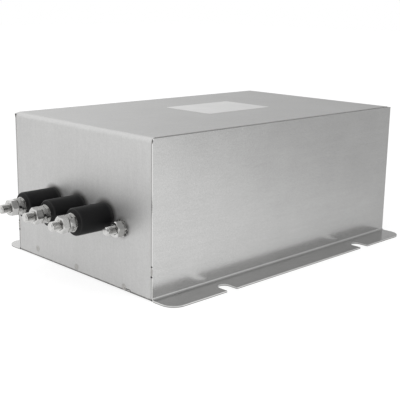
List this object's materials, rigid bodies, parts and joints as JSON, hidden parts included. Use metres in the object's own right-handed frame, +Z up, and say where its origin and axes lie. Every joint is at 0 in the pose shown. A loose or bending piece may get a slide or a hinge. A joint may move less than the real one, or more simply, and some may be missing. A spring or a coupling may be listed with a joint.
{
  "type": "three-phase power line filter",
  "caption": "Three-phase mains filter in a welded sheet steel case with slotted mounting flanges, insulated stud terminals at both ends and protective earth studs.",
  "frame": {"origin": "under the middle of the case, level with the undersides of the flanges", "axes": "+Z up, +Y from the line terminals to the load terminals, +X to the side of the earth studs"},
  "size_m": [0.2456, 0.4422, 0.1352],
  "materials": {
    "case_steel": "fine grained satin sheet steel",
    "zinc_steel": "zinc plated, semi-bright",
    "black_plastic": "moulded, slightly shiny",
    "label_film": "silver-grey film, satin",
    "copper": "plain copper",
    "enamelled_copper": "enamelled copper wire",
    "core_ceramic": "coated ring core",
    "nylon": "natural moulded plastic",
    "board": "solder-resist green",
    "capacitor_yellow": "moulded box",
    "capacitor_blue": "moulded box",
    "resistor_body": "lacquered",
    "liner_film": "insulating sheet"
  },
  "bodies": {
    "root": {"top_cover": "case_steel", "side_panel_left": "case_steel", "side_panel_right": "case_steel", "base_plate": "case_steel", "rating_label": "label_film", "line_insulator_1": "black_plastic", "line_insulator_2": "black_plastic", "line_insulator_3": "black_plastic", "load_insulator_1": "black_plastic", "load_insulator_2": "black_plastic", "load_insulator_3": "black_plastic", "line_stud_1": "zinc_steel", "line_stud_2": "zinc_steel", "line_stud_3": "zinc_steel", "load_stud_1": "zinc_steel", "load_stud_2": "zinc_steel", "load_stud_3": "zinc_steel", "line_earth_stud": "zinc_steel", "load_earth_stud": "zinc_steel", "line_flat_washers": "zinc_steel", "load_flat_washers": "zinc_steel", "line_thin_nuts": "zinc_steel", "load_thin_nuts": "zinc_steel", "inner_toothed_washers": "zinc_steel", "insulator_collars": "black_plastic", "inner_washers": "zinc_steel", "inner_nuts": "zinc_steel", "line_choke_core": "core_ceramic", "load_choke_core": "core_ceramic", "line_choke_windings": "enamelled_copper", "load_choke_windings": "enamelled_copper", "choke_cradles": "nylon", "cradle_nuts": "zinc_steel", "line_leads": "copper", "load_leads": "copper", "stage_links": "copper", "circuit_board": "board", "line_capacitors": "capacitor_yellow", "earth_capacitors": "capacitor_blue", "discharge_resistors": "resistor_body", "board_posts": "zinc_steel", "board_screws": "zinc_steel", "tap_wires": "copper", "base_liner": "liner_film"},
    "line_washer_body_1": {"line_spring_washer_1": "zinc_steel"},
    "line_nut_body_1": {"line_nut_1": "zinc_steel"},
    "line_washer_body_2": {"line_spring_washer_2": "zinc_steel"},
    "line_nut_body_2": {"line_nut_2": "zinc_steel"},
    "line_washer_body_3": {"line_spring_washer_3": "zinc_steel"},
    "line_nut_body_3": {"line_nut_3": "zinc_steel"},
    "line_washer_body_earth": {"line_toothed_washer": "zinc_steel"},
    "line_nut_body_earth": {"line_earth_nut": "zinc_steel"},
    "load_washer_body_1": {"load_spring_washer_1": "zinc_steel"},
    "load_nut_body_1": {"load_nut_1": "zinc_steel"},
    "load_washer_body_2": {"load_spring_washer_2": "zinc_steel"},
    "load_nut_body_2": {"load_nut_2": "zinc_steel"},
    "load_washer_body_3": {"load_spring_washer_3": "zinc_steel"},
    "load_nut_body_3": {"load_nut_3": "zinc_steel"},
    "load_washer_body_earth": {"load_toothed_washer": "zinc_steel"},
    "load_nut_body_earth": {"load_earth_nut": "zinc_steel"}
  },
  "joints": [
    {"name": "line_nut_travel_1", "type": "slide", "parent": "root", "child": "line_washer_body_1", "axis": [0, -1, 0], "range_m": [0, 0.00876]},
    {"name": "line_nut_turn_1", "type": "hinge", "parent": "line_washer_body_1", "child": "line_nut_body_1", "pos_m": [-0.0376, -0.2058, 0.0609], "axis": [0, -1, 0], "range_deg": [0, 2520]},
    {"name": "line_nut_travel_2", "type": "slide", "parent": "root", "child": "line_washer_body_2", "axis": [0, -1, 0], "range_m": [0, 0.00876]},
    {"name": "line_nut_turn_2", "type": "hinge", "parent": "line_washer_body_2", "child": "line_nut_body_2", "pos_m": [0, -0.2058, 0.0609], "axis": [0, -1, 0], "range_deg": [0, 2520]},
    {"name": "line_nut_travel_3", "type": "slide", "parent": "root", "child": "line_washer_body_3", "axis": [0, -1, 0], "range_m": [0, 0.00876]},
    {"name": "line_nut_turn_3", "type": "hinge", "parent": "line_washer_body_3", "child": "line_nut_body_3", "pos_m": [0.0376, -0.2058, 0.0609], "axis": [0, -1, 0], "range_deg": [0, 2520]},
    {"name": "line_nut_travel_earth", "type": "slide", "parent": "root", "child": "line_washer_body_earth", "axis": [0, -1, 0], "range_m": [0, 0.00876]},
    {"name": "line_nut_turn_earth", "type": "hinge", "parent": "line_washer_body_earth", "child": "line_nut_body_earth", "pos_m": [0.06, -0.1674, 0.0548], "axis": [0, -1, 0], "range_deg": [0, 2520]},
    {"name": "load_nut_travel_1", "type": "slide", "parent": "root", "child": "load_washer_body_1", "axis": [0, 1, 0], "range_m": [0, 0.00876]},
    {"name": "load_nut_turn_1", "type": "hinge", "parent": "load_washer_body_1", "child": "load_nut_body_1", "pos_m": [-0.0376, 0.2058, 0.0609], "axis": [0, 1, 0], "range_deg": [0, 2520]},
    {"name": "load_nut_travel_2", "type": "slide", "parent": "root", "child": "load_washer_body_2", "axis": [0, 1, 0], "range_m": [0, 0.00876]},
    {"name": "load_nut_turn_2", "type": "hinge", "parent": "load_washer_body_2", "child": "load_nut_body_2", "pos_m": [0, 0.2058, 0.0609], "axis": [0, 1, 0], "range_deg": [0, 2520]},
    {"name": "load_nut_travel_3", "type": "slide", "parent": "root", "child": "load_washer_body_3", "axis": [0, 1, 0], "range_m": [0, 0.00876]},
    {"name": "load_nut_turn_3", "type": "hinge", "parent": "load_washer_body_3", "child": "load_nut_body_3", "pos_m": [0.0376, 0.2058, 0.0609], "axis": [0, 1, 0], "range_deg": [0, 2520]},
    {"name": "load_nut_travel_earth", "type": "slide", "parent": "root", "child": "load_washer_body_earth", "axis": [0, 1, 0], "range_m": [0, 0.00876]},
    {"name": "load_nut_turn_earth", "type": "hinge", "parent": "load_washer_body_earth", "child": "load_nut_body_earth", "pos_m": [0.06, 0.1674, 0.0548], "axis": [0, 1, 0], "range_deg": [0, 2520]}
  ],
  "couplings": [
    {"joint": "line_nut_travel_1", "follows": "line_nut_turn_1", "m_per_rad": 0.00019894},
    {"joint": "line_nut_travel_2", "follows": "line_nut_turn_2", "m_per_rad": 0.00019894},
    {"joint": "line_nut_travel_3", "follows": "line_nut_turn_3", "m_per_rad": 0.00019894},
    {"joint": "line_nut_travel_earth", "follows": "line_nut_turn_earth", "m_per_rad": 0.00019894},
    {"joint": "load_nut_travel_1", "follows": "load_nut_turn_1", "m_per_rad": 0.00019894},
    {"joint": "load_nut_travel_2", "follows": "load_nut_turn_2", "m_per_rad": 0.00019894},
    {"joint": "load_nut_travel_3", "follows": "load_nut_turn_3", "m_per_rad": 0.00019894},
    {"joint": "load_nut_travel_earth", "follows": "load_nut_turn_earth", "m_per_rad": 0.00019894}
  ]
}
